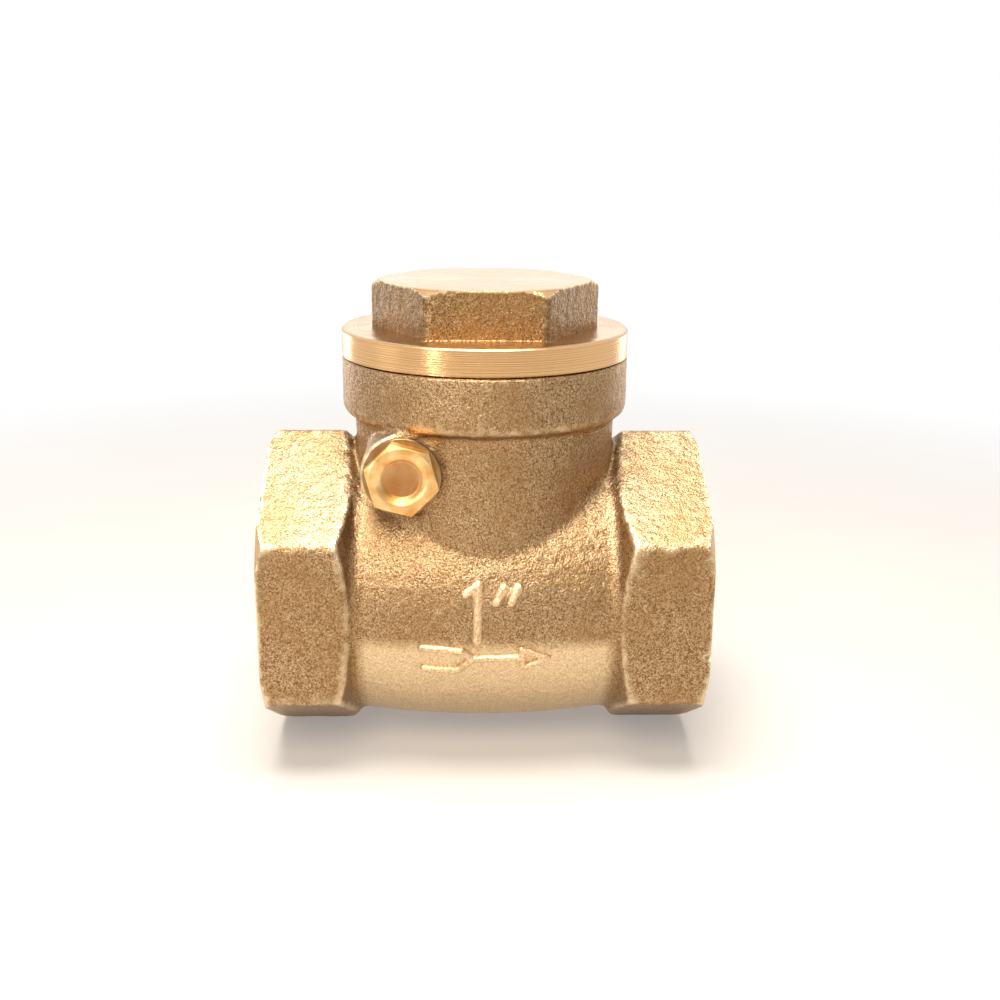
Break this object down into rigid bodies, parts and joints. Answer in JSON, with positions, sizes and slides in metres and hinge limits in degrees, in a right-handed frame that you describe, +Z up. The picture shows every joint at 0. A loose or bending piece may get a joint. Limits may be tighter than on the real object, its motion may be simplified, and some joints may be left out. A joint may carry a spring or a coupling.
{
  "type": "swing check valve",
  "caption": "Threaded brass swing check valve with hexagonal ends, a screwed cap and a hinged disc that lets water pass one way only.",
  "frame": {"origin": "centre of the inlet's threaded mouth, on the flow axis", "axes": "+X along the flow, from inlet to outlet; +Z up through the cap; -Y is the side with the hinge pin's plug"},
  "size_m": [0.062, 0.0406, 0.0677],
  "materials": {
    "cast_brass": "sand cast, matt and grainy",
    "turned_brass": "turned, fine rings",
    "polished_brass": "smooth, bright yellow",
    "rubber": "moulded, dull black",
    "fibre": "pressed red fibre, dull"
  },
  "bodies": {
    "valve_body": {"body": "cast_brass", "cap": "turned_brass", "cap_gasket": "fibre", "hinge_pin": "polished_brass", "pin_plug": "polished_brass", "plug_seal": "fibre"},
    "arm": {"hinge_arm": "cast_brass"},
    "disc": {"disc": "turned_brass", "disc_facing": "rubber", "seal_washer": "turned_brass", "disc_screw": "turned_brass", "nut_washer": "turned_brass", "disc_nut": "turned_brass"}
  },
  "joints": [
    {"name": "disc_swing", "type": "hinge", "parent": "valve_body", "child": "arm", "pos_m": [0.0198, 0, 0.0206], "axis": [0, -1, 0], "range_deg": [0, 54]},
    {"name": "disc_spin", "type": "hinge", "parent": "arm", "child": "disc", "pos_m": [0.01907, 0, 0], "axis": [0.9781, 0, 0.2079], "continuous": true}
  ]
}
